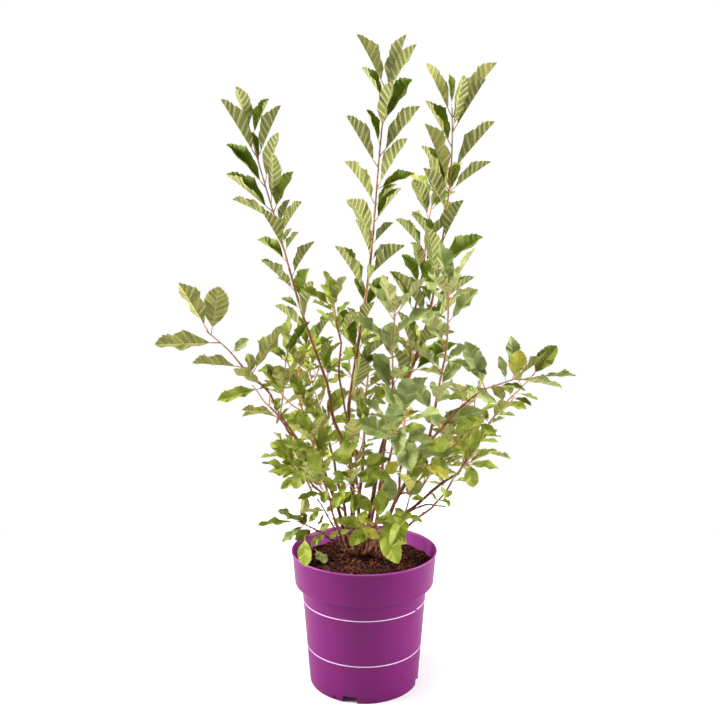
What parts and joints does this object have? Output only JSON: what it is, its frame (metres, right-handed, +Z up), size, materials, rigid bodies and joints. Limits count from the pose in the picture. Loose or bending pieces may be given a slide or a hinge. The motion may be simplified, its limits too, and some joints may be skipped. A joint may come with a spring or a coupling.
{
  "type": "potted pearlbush shrub",
  "caption": "Young open shrub with upright and arching leafy shoots from one root crown, standing in a round tapered nursery pot with a deep collar.",
  "frame": {"origin": "middle of the pot's foot, on the surface that the pot stands on", "axes": "+Z up the pot's axis, -Y towards the front that the picture shows, +X to the right as seen from that front"},
  "size_m": [0.6461, 0.4038, 0.9871],
  "materials": {
    "pot": "satin moulded plastic",
    "soil": "loose bark chips and fibres",
    "bark": "rough bark",
    "young_bark": "smooth young bark",
    "foliage": "matt leaf"
  },
  "bodies": {
    "root": {"pot": "pot", "soil": "soil", "root_crown": "bark", "centre_bough": "bark", "right_bough": "bark", "right_mid_bough": "bark", "orange_bough": "young_bark", "left_mid_bough": "bark", "right_low_bough": "bark", "lower_right_bough": "young_bark", "front_left_bough": "young_bark", "left_low_bough": "young_bark", "front_low_bough": "young_bark", "centre_rear_bough": "bark", "rear_left_bough": "young_bark", "rear_right_bough": "young_bark", "left_tall_bough": "young_bark", "right_rear_bough": "young_bark", "front_big_bough": "young_bark", "right_arch_bough": "young_bark", "right_twig_bough": "young_bark", "left_long_bough": "young_bark", "left_out_bough": "young_bark", "left_thin_bough": "young_bark", "centre_front_bough": "young_bark", "front_right_bough": "young_bark", "centre_side_bough": "young_bark", "rear_low_left_bough": "young_bark", "rear_low_right_bough": "young_bark", "bare_right_bough": "bark", "bare_left_bough": "bark", "centre_leaves": "foliage", "right_leaves": "foliage", "right_mid_leaves": "foliage", "orange_leaves": "foliage", "left_mid_leaves": "foliage", "right_low_leaves": "foliage", "lower_right_leaves": "foliage", "front_left_leaves": "foliage", "left_low_leaves": "foliage", "front_low_leaves": "foliage", "centre_rear_leaves": "foliage", "rear_left_leaves": "foliage", "rear_right_leaves": "foliage", "left_tall_leaves": "foliage", "right_rear_leaves": "foliage", "front_big_leaves": "foliage", "right_arch_leaves": "foliage", "right_twig_leaves": "foliage", "left_long_leaves": "foliage", "left_out_leaves": "foliage", "left_thin_leaves": "foliage", "centre_front_leaves": "foliage", "front_right_leaves": "foliage", "centre_side_leaves": "foliage", "rear_low_left_leaves": "foliage", "rear_low_right_leaves": "foliage"}
  },
  "joints": []
}
